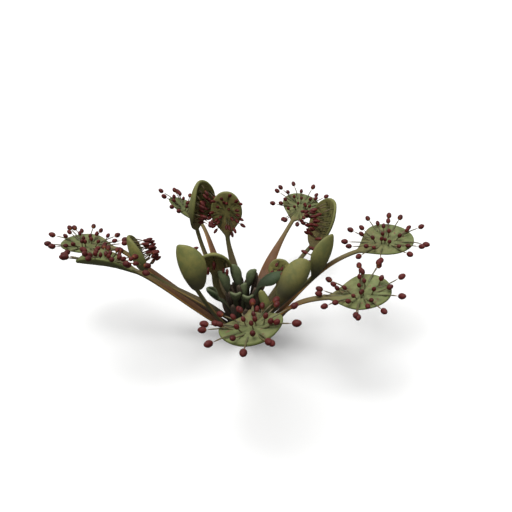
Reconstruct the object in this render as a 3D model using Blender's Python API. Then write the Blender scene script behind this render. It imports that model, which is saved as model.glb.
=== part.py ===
"""Round-leaved sundew: a rosette of stalked leaves round a short crown that stands on its flat cut base.

Metres, +Z up. The origin is the centre of the crown's base. Azimuths run anticlockwise from +X, and -90 is the
plant's front. Tables below are in millimetres and degrees.
"""

import math
import random
from dataclasses import dataclass

import bmesh
import bpy
from mathutils import Quaternion, Vector

MM = 0.001

# Crown: the short upright stem that every leaf grows from.
CROWN_RADIUS = 3.6
CROWN_CENTRE = Vector((0, 0, 1.5))
CROWN_BASE_RADIUS = 3.55
CROWN_FLARE = (0.6, 3.65)  # height and radius of the widest ring
CROWN_LEVELS = (0, 15, 30, 45, 60, 75, 86)  # degrees up the dome
CROWN_SIDES = 24
CROWN_SCALES = 8
CROWN_SCALE_HEIGHT = 0.1
SEAT_GAP = 0.3

# Leaf stalk: narrow at the crown, a flat strap above it, narrow again at the neck under the blade.
STALK_FOOT_HALF_WIDTH = 0.58
STALK_STRAP_HALF_WIDTH = 1.05
STALK_NECK_HALF_WIDTH = 0.52
STALK_THICKNESS = 0.85
STALK_WIDENS = (0.0, 0.35)
STALK_NARROWS = (0.4, 0.9)
STALK_STATIONS = 7

# Leaf blade: a disc with a wedge-shaped foot.
BLADE_THICKNESS = 0.78
YOUNG_THICKNESS = 0.64
TIGHTEST_FOLD = 0.45
BLADE_WIDEST = 0.56
BLADE_FOOT_STATIONS = 4
BLADE_ROUND_STATIONS = 5
BLADE_LAST_ANGLE = 80
FULL_THICKNESS_AT = 0.4
FULL_PINCH_AT = 0.3
SECTION_SIDES = 10
EDGE_SQUARENESS = 0.45

# Tentacle: a thin stalk that carries an egg-shaped gland.
TENTACLE_SIDES = 4
TENTACLE_ROOT_RADIUS = 0.24
TENTACLE_NECK_RADIUS = 0.15
TENTACLE_SINK = 0.3
RING_CENTRE = 0.53  # shares of the blade's length
RING_SPREAD = 0.45
EDGE_MARGIN = 0.92
PLACE_JITTER = 0.2
LEAN_JITTER = 6
LENGTH_JITTER = (0.93, 1.05)
ROUND_GLAND = (1.5, 0.6)  # length and radius on the open leaves
SLIM_GLAND = (1.9, 0.47)  # and in the cups
GLAND_BELLIES = ((0.3, 0.95), (0.7, 0.85))

GREEN = (0.16, 0.19, 0.07)
OLIVE = (0.17, 0.18, 0.06)
YOUNG_GREEN = (0.07, 0.11, 0.07)
BARK = (0.08, 0.055, 0.04)


@dataclass
class Leaf:
    """One leaf. start is where it leaves the crown and base is where its stalk meets its blade."""

    name: str
    start: tuple  # azimuth and elevation on the crown's dome
    base: tuple  # azimuth, reach from the axis, height
    pull: tuple  # how stiffly the stalk leaves the crown and meets the blade
    aim: tuple  # the blade's heading, pitch and roll
    size: tuple  # the blade's length and width, laid flat
    fold: float  # how far each side edge folds up
    curl: float  # how far the tip curls up
    rings: tuple = ()  # rings of tentacles, one of the sets below
    colour: tuple = GREEN
    strap: float = 1.0  # the strap's width as a share of the usual
    pinch: float = 0.0  # how much tighter the fold gets where the blade is narrow
    twist: float = 0.0  # how far the middle of the stalk is turned about its own line
    foot: float = 1.3  # a lower power makes the foot of the blade fuller
    tip: float = 0.5  # a higher power makes the tip more pointed
    neck: float = 1.0  # the neck's width as a share of the usual
    reach: float = 1.0  # the tentacles' length as a share of the usual
    draw: int = 1  # seed for the tentacles' places


# Rings of tentacles: count, place from blade centre to rim, lean out from the blade's face, length, gland size.
OPEN_RINGS = ((9, 0.94, 74, 4.1, 1.0), (5, 0.6, 40, 2.9, 0.8), (2, 0.25, 14, 2.3, 0.7))
CUP_RINGS = ((7, 0.86, -14, 3.6, 0.85), (4, 0.45, -6, 4.2, 0.8))
FLAT_RINGS = ((7, 0.72, 42, 2.9, 0.85), (4, 0.4, 28, 3.0, 0.8))
BUD_RINGS = ((3, 0.84, -8, 3.2, 0.8),)

LEAVES = (
    # Open leaves, the outer ring.
    Leaf("open_front", (-90, 26), (-87, 26.6, 24.6), (10, 2.5), (-88, 10, 12), (10.7, 10.7), 20, -6,
         rings=OPEN_RINGS, strap=1.2, draw=387),
    Leaf("open_right_low", (-42, 26), (-44, 22.4, 20.8), (10, 11), (-9, 10, 7), (11.8, 10.5), 14, 8,
         rings=OPEN_RINGS, neck=1.3, draw=142),
    Leaf("open_right_high", (2, 27), (-2, 23.8, 23), (9, 12), (23, 6, 6), (13, 11.2), 14, 6,
         rings=OPEN_RINGS, draw=768),
    Leaf("open_back_right", (78, 28), (66, 28.9, 17.7), (13, 13), (65, 15, 12), (10.7, 10.1), 14, 7,
         rings=OPEN_RINGS, strap=1.3, draw=302),
    Leaf("open_back_left", (123, 26), (116, 26.8, 18), (10, 3), (139, 20, 23), (11, 10.2), 15, 7,
         rings=OPEN_RINGS, draw=280),
    Leaf("open_left_far", (165, 18), (172, 28.8, 21.1), (12, 2.5), (175, 2, 5), (12.2, 10.5), 14, 7,
         rings=OPEN_RINGS, strap=1.2, twist=5, draw=676),
    Leaf("open_left_near", (-160, 25), (-148, 24, 24.7), (5, 4), (179, 23, 21), (11.6, 10.8), 34, -20,
         rings=OPEN_RINGS, strap=1.15, pinch=0.7, twist=-20, foot=1.15, neck=1.9, draw=367),
    # Cupped leaves, which stand up and open towards the plant's axis.
    Leaf("cup_left", (180, 47), (-179, 20.7, 16.9), (7, 7), (-158, 42, -4), (11.2, 8.5), 70, 56,
         rings=CUP_RINGS, colour=OLIVE, strap=1.2, pinch=0.65, foot=1.05, reach=1.15, draw=142),
    Leaf("cup_tall", (143, 48), (132, 17.2, 21.7), (8, 8), (148, 75, -2), (12.9, 10.4), 78, 47,
         rings=CUP_RINGS, colour=OLIVE, strap=0.9, pinch=0.55, foot=0.8, draw=431),
    Leaf("cup_back", (97, 48), (112, 11.4, 20.8), (8, 3), (98, 78, -5), (11, 7.4), 32, 16,
         rings=FLAT_RINGS, colour=OLIVE, strap=0.9, draw=85),
    Leaf("cup_low", (157, 68), (163, 7.1, 15.7), (4, 7), (94, 80, -3), (9.4, 9.2), 62, 85,
         rings=BUD_RINGS, colour=OLIVE, strap=0.8, neck=1.5, draw=163),
    Leaf("cup_right", (30, 47), (30, 17.2, 19.3), (7, 6), (14, 47, 11), (12.6, 9.3), 50, 45,
         rings=CUP_RINGS, colour=OLIVE, pinch=0.5, foot=0.5, reach=1.3, draw=872),
    Leaf("egg_left", (-126, 30), (-129, 14.9, 20), (9, 2), (-145, 59, 25), (10.5, 8.9), 90, 43,
         rings=BUD_RINGS, colour=OLIVE, strap=0.6, pinch=0.8, foot=0.5, draw=793),
    Leaf("egg_right", (-55, 47), (-54, 12.5, 16.9), (6, 2), (-26, 53, -65), (10.1, 7.4), 90, 53,
         rings=BUD_RINGS, colour=OLIVE, strap=1.3, pinch=0.7, foot=0.85, neck=2.2, draw=14),
    Leaf("egg_far", (-14, 47), (-21, 15, 19.1), (7, 6), (-11, 48, -22), (10.6, 8.6), 75, 51,
         rings=BUD_RINGS, colour=OLIVE, strap=1.2, pinch=0.5, foot=1, neck=1.7, draw=15),
    Leaf("cup_small", (12, 68), (22, 8.1, 12.6), (4, 3), (80, 75, 0), (6, 5.2), 12, 6,
         rings=BUD_RINGS, colour=OLIVE, strap=0.8, neck=1.3, draw=475),
    # Young leaves, still folded, round the middle.
    Leaf("young_left", (-160, 68), (-155, 4.2, 13.7), (3, 3), (180, 62, 50), (5.2, 4), 130, 20,
         colour=YOUNG_GREEN, strap=0.8, pinch=0.85, tip=0.75),
    Leaf("young_tall", (116, 68), (-168, 1.5, 13.8), (3, 2), (180, 73, 75), (5.6, 4.2), 130, 18,
         colour=YOUNG_GREEN, strap=0.7, pinch=0.85, tip=0.75),
    Leaf("young_right", (52, 68), (38, 0.8, 13.6), (3, 2), (0, 66, -60), (4.4, 3.6), 130, 18,
         colour=YOUNG_GREEN, strap=0.6, pinch=0.85, tip=0.75),
    Leaf("young_middle", (-113, 68), (-98, 2.4, 12), (3, 4), (0, 82, -50), (4, 2.8), 120, 15,
         colour=YOUNG_GREEN, strap=0.7, pinch=0.8, tip=0.7),
    Leaf("young_hood", (180, 86), (-55, 4.9, 15.8), (4, 1.5), (8, 74, 178), (6.7, 4.6), 88, 85,
         colour=YOUNG_GREEN, strap=0.8, pinch=0.36, foot=1.4, tip=0.7),
    Leaf("young_hook", (-150, 48), (-147, 6.5, 12.6), (4, 3), (-172, 30, 0), (4.3, 3.6), 110, 40,
         colour=YOUNG_GREEN, strap=0.8, pinch=0.8, tip=0.7),
    Leaf("bud_left", (-118, 48), (-117, 4.5, 12.8), (3, 3), (-90, 60, 0), (2.5, 3.5), 95, 10,
         colour=YOUNG_GREEN, strap=0.7, pinch=0.3),
    Leaf("bud_front", (-90, 48), (-82, 4.2, 12.2), (3, 3), (-90, 60, 0), (2.5, 3.5), 95, 10,
         colour=YOUNG_GREEN, strap=0.6, pinch=0.3),
    Leaf("young_strap", (-67, 27), (-66, 12.2, 14.2), (5, 0.6), (-163, 70, 70), (5.6, 2), 75, 20,
         colour=OLIVE, strap=0.6, pinch=0.7, tip=0.7),
)


def smooth(low, high, value):
    share = min(1.0, max(0.0, (value - low) / (high - low)))
    return share * share * (3 - 2 * share)


def towards(azimuth, elevation):
    azimuth, elevation = math.radians(azimuth), math.radians(elevation)
    flat = math.cos(elevation)
    return Vector((flat * math.cos(azimuth), flat * math.sin(azimuth), math.sin(elevation)))


def upper_side(azimuth, elevation):
    """The direction square to towards() that a leaf's upper face looks in."""
    return towards(azimuth, elevation + 90)


class Course:
    """A leaf's middle line: a Bezier stalk, then a blade whose tip curls along an arc."""

    def __init__(self, leaf):
        self.leaf = leaf
        out = towards(*leaf.start)
        start = CROWN_CENTRE + out * (CROWN_RADIUS + SEAT_GAP)
        azimuth, reach, height = leaf.base
        self.base = towards(azimuth, 0) * reach + Vector((0, 0, height))
        heading, pitch, roll = leaf.aim
        self.along = towards(heading, pitch)
        turn = Quaternion(self.along, math.radians(roll))
        self.up = turn @ upper_side(heading, pitch)
        leave = (out + (self.base - start).normalized()).normalized()
        away, into = leaf.pull
        self.handles = (start, start + leave * away, self.base - self.along * into, self.base)
        self.start_up = upper_side(*leaf.start)

    def stalk(self, t):
        """Point, direction and upper side at share t of the stalk."""
        a, b, c, d = self.handles
        s = 1 - t
        point = a * s**3 + b * 3 * s * s * t + c * 3 * s * t * t + d * t**3
        along = ((b - a) * s * s + (c - b) * 2 * s * t + (d - c) * t * t).normalized()
        up = self.start_up.lerp(self.up, smooth(0, 1, t))
        up = (up - along * up.dot(along)).normalized()
        return point, along, Quaternion(along, math.radians(self.leaf.twist) * math.sin(math.pi * t)) @ up

    def blade(self, x):
        """Point, direction and upper side at share x of the blade's length."""
        length = self.leaf.size[0]
        angle = math.radians(self.leaf.curl) * x
        if abs(angle) < 1e-6:
            return self.base + self.along * length * x, self.along, self.up
        radius = length * x / angle
        point = self.base + self.along * radius * math.sin(angle) + self.up * radius * (1 - math.cos(angle))
        along = self.along * math.cos(angle) + self.up * math.sin(angle)
        up = self.up * math.cos(angle) - self.along * math.sin(angle)
        return point, along, up


def stalk_thickness(leaf):
    return STALK_THICKNESS * (0.6 + 0.4 * leaf.strap)


def blade_thickness(leaf):
    return YOUNG_THICKNESS if leaf.fold > 90 else BLADE_THICKNESS


def half_width(leaf, x):
    """Half the blade's width, laid flat, at share x of its length."""
    widest = leaf.size[1] / 2
    neck = STALK_NECK_HALF_WIDTH * leaf.neck
    if x < BLADE_WIDEST:
        return neck + (widest - neck) * math.sin(math.pi / 2 * x / BLADE_WIDEST) ** leaf.foot
    return widest * max(0.0, 1 - ((x - BLADE_WIDEST) / (1 - BLADE_WIDEST)) ** 2) ** leaf.tip


def fold_radius(leaf, x):
    """The radius that the sides fold up round, smaller where a pinched leaf is narrow."""
    widest = leaf.size[1] / 2
    radius = widest / math.radians(leaf.fold)
    if leaf.pinch and x > 0:
        radius *= 1 - leaf.pinch * (1 - half_width(leaf, x) / widest) * smooth(0, FULL_PINCH_AT, x)
    return max(radius, TIGHTEST_FOLD)


def folded(leaf, frame, across, above, x=0):
    """Place and upper side of a point across the blade, with both sides folded up round the middle line."""
    point, along, up = frame
    side = along.cross(up)
    radius = fold_radius(leaf, x)
    angle = across / radius
    arm = radius - above
    place = point + side * arm * math.sin(angle) + up * (radius - arm * math.cos(angle))
    return place, up * math.cos(angle) - side * math.sin(angle)


def section(leaf, frame, half, thickness, squareness, x=0):
    """A ring of points round the leaf: an ellipse for a stalk, squarer for a blade."""
    ring = []
    for k in range(SECTION_SIDES):
        angle = 2 * math.pi * k / SECTION_SIDES
        lift = math.sin(angle)
        above = thickness / 2 * math.copysign(abs(lift) ** squareness, lift) if abs(lift) > 1e-9 else 0.0
        ring.append(folded(leaf, frame, half * math.cos(angle), above, x)[0])
    return ring


def stalk_half_width(leaf, t):
    """Half the stalk's width at share t of its length."""
    strap = STALK_STRAP_HALF_WIDTH * leaf.strap
    foot = STALK_FOOT_HALF_WIDTH * min(1, leaf.strap)
    wide = foot + (strap - foot) * smooth(*STALK_WIDENS, t)
    return wide + (STALK_NECK_HALF_WIDTH * leaf.neck - wide) * smooth(*STALK_NARROWS, t)


def leaf_sections(leaf, course):
    rings = []
    for k in range(STALK_STATIONS):
        t = k / STALK_STATIONS
        rings.append(section(leaf, course.stalk(t), stalk_half_width(leaf, t), stalk_thickness(leaf), 1))
    foot = [BLADE_WIDEST * k / BLADE_FOOT_STATIONS for k in range(BLADE_FOOT_STATIONS)]
    steps = range(BLADE_ROUND_STATIONS)
    angles = [math.radians(BLADE_LAST_ANGLE * k / (BLADE_ROUND_STATIONS - 1)) for k in steps]
    for x in foot + [BLADE_WIDEST + (1 - BLADE_WIDEST) * math.sin(angle) for angle in angles]:
        blend = smooth(0, FULL_THICKNESS_AT, x)
        thick = stalk_thickness(leaf) + (blade_thickness(leaf) - stalk_thickness(leaf)) * blend
        square = 1 + (EDGE_SQUARENESS - 1) * blend
        rings.append(section(leaf, course.blade(x), half_width(leaf, x), thick, square, x))
    return rings


def loft(rings, tip=None):
    """A closed solid extruded through rings of points, ending in a flat face or in a point."""
    bm = bmesh.new()
    bmesh.ops.create_circle(bm, cap_ends=True, radius=MM, segments=len(rings[0]))
    bm.faces.ensure_lookup_table()
    face = bm.faces[0]
    for number, ring in enumerate(rings):
        if number:
            inner = face
            made = bmesh.ops.extrude_face_region(bm, geom=[inner])["geom"]
            face = next(item for item in made if isinstance(item, bmesh.types.BMFace))
            if number > 1:
                bmesh.ops.delete(bm, geom=[inner], context="FACES_ONLY")
        for vert, point in zip(face.verts, ring):
            vert.co = point * MM
    if tip is not None:
        bmesh.ops.poke(bm, faces=[face])["verts"][0].co = tip * MM
    bmesh.ops.recalc_face_normals(bm, faces=bm.faces)
    bmesh.ops.triangulate(bm, faces=bm.faces)
    return bm


def material(name, colour):
    made = bpy.data.materials.get(name)
    if made is None:
        made = bpy.data.materials.new(name)
        made.use_nodes = True
        shader = made.node_tree.nodes["Principled BSDF"]
        shader.inputs["Base Color"].default_value = (*colour, 1)
        shader.inputs["Roughness"].default_value = 0.55
        shader.inputs["Metallic"].default_value = 0
    return made


def add_object(name, bm, collection, colour):
    mesh = bpy.data.meshes.new(name)
    bm.to_mesh(mesh)
    bm.free()
    mesh.materials.append(material(name, colour))
    made = bpy.data.objects.new(name, mesh)
    collection.objects.link(made)
    return made


def tentacle(root, out, length, gland_length, gland_radius):
    """A thin stalk from root along out, with its gland on the end."""
    side = out.orthogonal().normalized()
    other = out.cross(side)

    def ring(distance, radius):
        points = []
        for k in range(TENTACLE_SIDES):
            angle = 2 * math.pi * k / TENTACLE_SIDES
            points.append(root + out * distance + (side * math.cos(angle) + other * math.sin(angle)) * radius)
        return points

    neck = length - gland_length
    rings = [ring(-TENTACLE_SINK, TENTACLE_ROOT_RADIUS), ring(neck, TENTACLE_NECK_RADIUS)]
    for place, share in GLAND_BELLIES:
        rings.append(ring(neck + gland_length * place, gland_radius * share))
    return loft(rings, root + out * length)


def tentacle_roots(leaf, course, draw):
    """Root, direction, length and gland size of each tentacle, ring by ring from the rim in."""
    half_blade = leaf.size[1] / 2
    for count, place, lean, reach, size in leaf.rings:
        turn = draw.random()
        for k in range(count):
            angle = 2 * math.pi * (k + turn + draw.uniform(-PLACE_JITTER, PLACE_JITTER)) / count
            x = RING_CENTRE + RING_SPREAD * place * math.cos(angle)
            edge = half_width(leaf, x) * EDGE_MARGIN
            across = max(-edge, min(edge, half_blade * place * math.sin(angle)))
            frame = course.blade(x)
            root = folded(leaf, frame, across, 0, x)[0]
            middle, along, up = frame
            outward = along * math.cos(angle) + along.cross(up) * math.sin(angle)
            tilt = math.radians(lean + draw.uniform(-LEAN_JITTER, LEAN_JITTER))
            out = up * math.cos(tilt) + outward * math.sin(tilt)
            yield root, out, reach * leaf.reach * draw.uniform(*LENGTH_JITTER), size


def make_leaf(leaf, collection):
    course = Course(leaf)
    blade = add_object(leaf.name, loft(leaf_sections(leaf, course)), collection, leaf.colour)
    if not leaf.rings:
        return blade
    helpers = bpy.data.collections.new(leaf.name + "_tentacles")
    collection.children.link(helpers)
    gland = ROUND_GLAND if leaf.rings == OPEN_RINGS else SLIM_GLAND
    for root, out, length, size in tentacle_roots(leaf, course, random.Random(leaf.draw)):
        solid = tentacle(root, out, length, gland[0] * size, gland[1] * size)
        add_object("tentacle", solid, helpers, leaf.colour)
    union = blade.modifiers.new("tentacles", "BOOLEAN")
    union.operation = "UNION"
    union.operand_type = "COLLECTION"
    union.collection = helpers
    union.solver = "MANIFOLD"
    with bpy.context.temp_override(object=blade, active_object=blade):
        bpy.ops.object.modifier_apply(modifier=union.name)
    for helper in list(helpers.objects):
        bpy.data.objects.remove(helper)
    bpy.data.collections.remove(helpers)
    return blade


def make_crown(collection):
    """A dome on a short foot, with low scales left by old leaves."""
    levels = [(0.0, CROWN_BASE_RADIUS), CROWN_FLARE]
    top = CROWN_CENTRE.z
    for degrees in CROWN_LEVELS:
        angle = math.radians(degrees)
        levels.append((top + CROWN_RADIUS * math.sin(angle), CROWN_RADIUS * math.cos(angle)))
    rings = []
    for number, (height, radius) in enumerate(levels):
        ring = []
        for k in range(CROWN_SIDES):
            angle = 2 * math.pi * k / CROWN_SIDES
            scale = CROWN_SCALE_HEIGHT * math.cos(CROWN_SCALES * angle + number)
            reach = radius - abs(scale)
            ring.append(Vector((reach * math.cos(angle), reach * math.sin(angle), height)))
        rings.append(ring)
    return add_object("crown", loft(rings), collection, BARK)


def main():
    for old in list(bpy.data.objects):
        bpy.data.objects.remove(old)
    collection = bpy.context.scene.collection
    plant = bpy.data.objects.new("sundew", None)
    collection.objects.link(plant)
    make_crown(collection).parent = plant
    for leaf in LEAVES:
        make_leaf(leaf, collection).parent = plant


main()
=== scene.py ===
import math
import random

import bmesh
import bpy
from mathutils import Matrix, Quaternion, Vector, noise


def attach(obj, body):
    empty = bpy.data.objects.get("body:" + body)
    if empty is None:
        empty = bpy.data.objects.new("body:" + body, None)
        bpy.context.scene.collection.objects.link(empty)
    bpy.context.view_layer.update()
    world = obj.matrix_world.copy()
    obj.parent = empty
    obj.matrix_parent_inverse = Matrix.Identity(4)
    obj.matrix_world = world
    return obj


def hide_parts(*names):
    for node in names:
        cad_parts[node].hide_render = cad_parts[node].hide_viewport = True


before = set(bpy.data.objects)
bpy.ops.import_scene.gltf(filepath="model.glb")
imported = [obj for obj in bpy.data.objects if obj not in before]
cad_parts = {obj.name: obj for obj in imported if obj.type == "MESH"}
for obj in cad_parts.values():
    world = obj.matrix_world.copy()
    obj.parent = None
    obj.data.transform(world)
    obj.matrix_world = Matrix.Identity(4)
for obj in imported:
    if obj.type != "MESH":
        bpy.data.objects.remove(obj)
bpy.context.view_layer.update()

# tables are in millimetres and degrees unless they say otherwise; azimuths run anticlockwise from +X,
# and -90 is the plant's front
mm = 0.001
tiny = 1e-6  # anything smaller counts as nothing


print("frame loaded,", len(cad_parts), "nodes")


# sizes that every leaf shares
leafShape = {
    "crownRadius": 3.6,
    "crownCentre": 1.5,
    "seatGap": 0.3,
    "footHalfWidth": 0.58,
    "strapHalfWidth": 1.05,
    "neckHalfWidth": 0.52,
    "stalkThickness": 0.85,
    "keptThickness": 0.6,  # the share of it that does not depend on the stalk's width
    "stalkWidens": (0.0, 0.35),
    "stalkNarrows": (0.4, 0.9),
    "bladeThickness": 0.78,
    "youngThickness": 0.64,
    "youngFold": 90,  # a leaf that is folded further than this has the young thickness
    "fullThicknessAt": 0.4,  # blade share where the stalk's thickness has given way to the blade's
    "tightestFold": 0.45,
    "fullPinchAt": 0.3,  # blade share from which a pinched leaf is pinched in full
    "bladeWidest": 0.56,
    "footPower": 1.3,  # a lower power makes the foot of the blade fuller
    "tipPower": 0.5,  # a higher power makes the tip more pointed
    "edgeSquareness": 0.45,
    "tipRound": 0.45,  # how far back from the tip the thickness starts to close
    "stalkRings": 36,
    "footRings": 26,
    "roundRings": 34,
    "topSides": 44,
    "underSides": 24,
    "lengthSteps": 12,
    "uvSpan": (50, 20),  # the length and width that one unit of the leaf's UV map covers
    "weld": 2e-6,
}

# each leaf: start on the crown (azimuth, elevation), base of the blade (azimuth, reach, height), pull
# of the stalk at each end, aim of the blade (heading, pitch, roll), size of the blade laid flat, fold
# of its sides and curl of its tip. What a leaf may also have: strap and neck, its stalk's widths
# against the shared ones; foot and tip, its own powers for the blade's outline; pinch, how much
# tighter its narrow parts are folded; twist of the stalk; reach of the tentacles; paintedShade, how
# much painted shade darkens the whole blade; skin, another kind's colours; draw, the seed of its
# tentacles' places
leaves = {
    "open_front": dict(
        start=(-90, 26), base=(-87, 26.6, 24.6), pull=(10, 2.5), aim=(-88, 10, 12), size=(10.7, 10.7),
        fold=20, curl=-6, strap=1.2, paintedShade=0.2, draw=387),
    "open_right_low": dict(
        start=(-42, 26), base=(-44, 22.4, 20.8), pull=(10, 11), aim=(-9, 10, 7), size=(11.8, 10.5),
        fold=14, curl=8, neck=1.3, draw=142),
    "open_right_high": dict(
        start=(2, 27), base=(-2, 23.8, 23.0), pull=(9, 12), aim=(23, 6, 6), size=(13.0, 11.2),
        fold=14, curl=6, paintedShade=0.1, draw=768),
    "open_back_right": dict(
        start=(78, 28), base=(66, 28.9, 17.7), pull=(13, 13), aim=(65, 15, 12), size=(10.7, 10.1),
        fold=14, curl=7, strap=1.3, draw=302),
    "open_back_left": dict(
        start=(123, 26), base=(116, 26.8, 18.0), pull=(10, 3), aim=(139, 20, 23), size=(11.0, 10.2),
        fold=15, curl=7, draw=280),
    "open_left_far": dict(
        start=(165, 18), base=(172, 28.8, 21.1), pull=(12, 2.5), aim=(175, 2, 5), size=(12.2, 10.5),
        fold=14, curl=7, strap=1.2, twist=5, draw=676),
    "open_left_near": dict(
        start=(-160, 25), base=(-148, 24, 24.7), pull=(5, 4), aim=(179, 23, 21), size=(11.6, 10.8),
        fold=34, curl=-20, pinch=0.7, strap=1.15, foot=1.15, neck=1.9, twist=-20, draw=367),
    "cup_left": dict(
        start=(180, 47), base=(-179, 20.7, 16.9), pull=(7, 7), aim=(-158, 42, -4), size=(11.2, 8.5),
        fold=70, curl=56, pinch=0.65, strap=1.2, foot=1.05, reach=1.15, draw=142),
    "cup_tall": dict(
        start=(143, 48), base=(132, 17.2, 21.7), pull=(8, 8), aim=(148, 75, -2), size=(12.9, 10.4),
        fold=78, curl=47, pinch=0.55, strap=0.9, foot=0.8, paintedShade=0.3, draw=431),
    "cup_back": dict(
        start=(97, 48), base=(112, 11.4, 20.8), pull=(8, 3), aim=(98, 78, -5), size=(11.0, 7.4),
        fold=32, curl=16, strap=0.9, paintedShade=0.05, draw=85),
    "cup_low": dict(
        start=(157, 68), base=(163, 7.1, 15.7), pull=(4, 7), aim=(94, 80, -3), size=(9.4, 9.2),
        fold=62, curl=85, strap=0.8, neck=1.5, draw=163),
    "cup_right": dict(
        start=(30, 47), base=(30, 17.2, 19.3), pull=(7, 6), aim=(14, 47, 11), size=(12.6, 9.3),
        fold=50, curl=45, pinch=0.5, foot=0.5, reach=1.3, paintedShade=0.25, draw=872),
    "egg_left": dict(
        start=(-126, 30), base=(-129, 14.9, 20.0), pull=(9, 2), aim=(-145, 59, 25), size=(10.5, 8.9),
        fold=90, curl=43, pinch=0.8, strap=0.6, foot=0.5, paintedShade=0.1, draw=793),
    "egg_right": dict(
        start=(-55, 47), base=(-54, 12.5, 16.9), pull=(6, 2), aim=(-26, 53, -65), size=(10.1, 7.4),
        fold=90, curl=53, pinch=0.7, strap=1.3, foot=0.85, neck=2.2, paintedShade=0.35, draw=14),
    "egg_far": dict(
        start=(-14, 47), base=(-21, 15.0, 19.1), pull=(7, 6), aim=(-11, 48, -22), size=(10.6, 8.6),
        fold=75, curl=51, pinch=0.5, strap=1.2, foot=1.0, neck=1.7, paintedShade=0.3, draw=15),
    "cup_small": dict(
        start=(12, 68), base=(22, 8.1, 12.6), pull=(4, 3), aim=(80, 75, 0), size=(6.0, 5.2),
        fold=12, curl=6, strap=0.8, neck=1.3, draw=475),
    "young_left": dict(
        start=(-160, 68), base=(-155, 4.2, 13.7), pull=(3, 3), aim=(180, 62, 50), size=(5.2, 4.0),
        fold=130, curl=20, pinch=0.85, strap=0.8, tip=0.75),
    "young_tall": dict(
        start=(116, 68), base=(-168, 1.5, 13.8), pull=(3, 2), aim=(180, 73, 75), size=(5.6, 4.2),
        fold=130, curl=18, pinch=0.85, strap=0.7, tip=0.75),
    "young_right": dict(
        start=(52, 68), base=(38, 0.8, 13.6), pull=(3, 2), aim=(0, 66, -60), size=(4.4, 3.6),
        fold=130, curl=18, pinch=0.85, strap=0.6, tip=0.75),
    "young_middle": dict(
        start=(-113, 68), base=(-98, 2.4, 12.0), pull=(3, 4), aim=(0, 82, -50), size=(4.0, 2.8),
        fold=120, curl=15, pinch=0.8, strap=0.7, tip=0.7),
    "young_hood": dict(
        start=(180, 86), base=(-55, 4.9, 15.8), pull=(4, 1.5), aim=(8, 74, 178), size=(6.7, 4.6),
        fold=88, curl=85, pinch=0.36, strap=0.8, foot=1.4, tip=0.7, skin="tealShaded"),
    "young_hook": dict(
        start=(-150, 48), base=(-147, 6.5, 12.6), pull=(4, 3), aim=(-172, 30, 0), size=(4.3, 3.6),
        fold=110, curl=40, pinch=0.8, strap=0.8, tip=0.7, skin="tealShaded"),
    "bud_left": dict(
        start=(-118, 48), base=(-117, 4.5, 12.8), pull=(3, 3), aim=(-90, 60, 0), size=(2.5, 3.5),
        fold=95, curl=10, pinch=0.3, strap=0.7),
    "bud_front": dict(
        start=(-90, 48), base=(-82, 4.2, 12.2), pull=(3, 3), aim=(-90, 60, 0), size=(2.5, 3.5),
        fold=95, curl=10, pinch=0.3, strap=0.6),
    "young_strap": dict(
        start=(-67, 27), base=(-66, 12.2, 14.2), pull=(5, 0.6), aim=(-163, 70, 70), size=(5.6, 2.0),
        fold=75, curl=20, pinch=0.7, strap=0.6, tip=0.7, skin="cup"),
}


def bladeThickness(leaf):
    return leafShape["youngThickness" if leaf["fold"] > leafShape["youngFold"] else "bladeThickness"]


def stalkThickness(leaf):
    kept = leafShape["keptThickness"]
    return leafShape["stalkThickness"] * (kept + (1 - kept) * leaf.get("strap", 1))


def leafKind(name):
    if name.startswith("open"):
        return "open"
    return "young" if name.startswith(("young", "bud")) else "cup"


# 0 below low, 1 above high, and eased in between
def smooth(low, high, value):
    share = min(1.0, max(0.0, (value - low) / (high - low)))
    return share * share * (3 - 2 * share)


def towards(azimuth, elevation):
    azimuth, elevation = math.radians(azimuth), math.radians(elevation)
    flat = math.cos(elevation)
    return Vector((flat * math.cos(azimuth), flat * math.sin(azimuth), math.sin(elevation)))


def upperSide(azimuth, elevation):
    return towards(azimuth, elevation + 90)


# the middle line of a leaf: a curved stalk from the crown, then a blade whose tip curls along an arc
def leafCourse(leaf):
    out = towards(*leaf["start"])
    clear = leafShape["crownRadius"] + leafShape["seatGap"]
    start = Vector((0, 0, leafShape["crownCentre"])) + out * clear
    azimuth, reach, height = leaf["base"]
    base = towards(azimuth, 0) * reach + Vector((0, 0, height))
    heading, pitch, roll = leaf["aim"]
    along = towards(heading, pitch)
    up = Quaternion(along, math.radians(roll)) @ upperSide(heading, pitch)
    leave = (out + (base - start).normalized()).normalized()
    away, into = leaf["pull"]
    return {
        "handles": (start, start + leave * away, base - along * into, base),
        "along": along,
        "up": up,
        "startUp": upperSide(*leaf["start"]),
        "twist": math.radians(leaf.get("twist", 0)),
    }


def stalkFrame(course, t):
    a, b, c, d = course["handles"]
    s = 1 - t
    point = a * s**3 + b * 3 * s * s * t + c * 3 * s * t * t + d * t**3
    along = ((b - a) * s * s + (c - b) * 2 * s * t + (d - c) * t * t).normalized()
    up = course["startUp"].lerp(course["up"], smooth(0, 1, t))
    up = (up - along * up.dot(along)).normalized()
    return point, along, Quaternion(along, course["twist"] * math.sin(math.pi * t)) @ up


def bladeFrame(leaf, course, x):
    base, along, up = course["handles"][-1], course["along"], course["up"]
    length, angle = leaf["size"][0], math.radians(leaf["curl"]) * x
    if abs(angle) < tiny:
        return base + along * length * x, along, up
    radius = length * x / angle
    point = base + along * radius * math.sin(angle) + up * radius * (1 - math.cos(angle))
    turned = along * math.cos(angle) + up * math.sin(angle)
    return point, turned, up * math.cos(angle) - along * math.sin(angle)


def neckHalfWidth(leaf):
    return leafShape["neckHalfWidth"] * leaf.get("neck", 1)


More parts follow.
